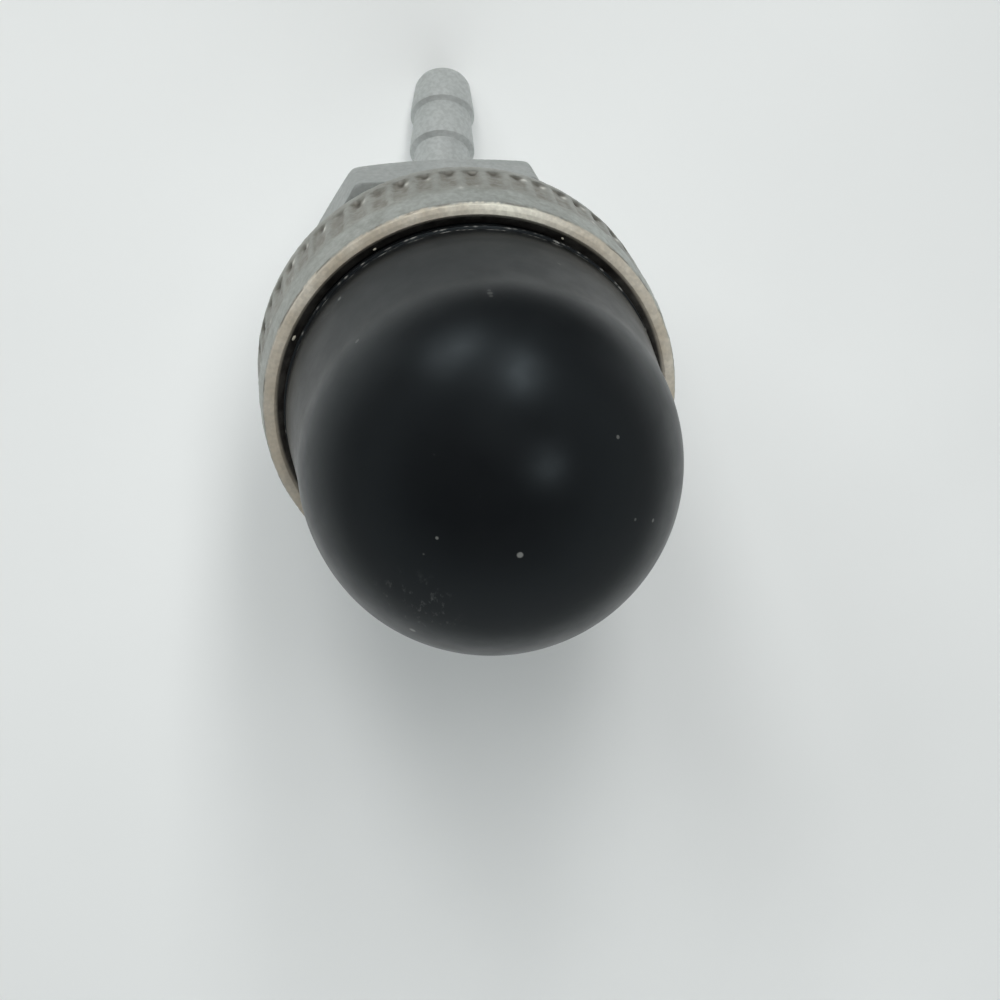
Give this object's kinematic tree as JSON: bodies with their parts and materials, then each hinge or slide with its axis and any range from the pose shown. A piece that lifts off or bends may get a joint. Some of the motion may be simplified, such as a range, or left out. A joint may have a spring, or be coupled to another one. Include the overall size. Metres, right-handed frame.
{
  "type": "primer bulb",
  "caption": "Hand primer: a rubber squeeze bulb held by a knurled ring nut on a hexagonal metal body with an angled hose barb.",
  "frame": {"origin": "centre of the seat on the front face of the hexagon, where the panel bears", "axes": "+Z along the axis of the bulb, towards its dome; the hose barb leans towards +Y"},
  "size_m": [0.032, 0.032, 0.0699],
  "materials": {
    "body_metal": "matt grey casting, a little rubbed on the edges",
    "ring_plating": "dull nickel plating, worn to a warm tan on the front lip",
    "bulb_rubber": "smooth black moulded rubber with a soft sheen and a little dust"
  },
  "bodies": {
    "root": {"body": "body_metal", "ring_nut": "ring_plating", "bulb": "bulb_rubber"}
  },
  "joints": []
}
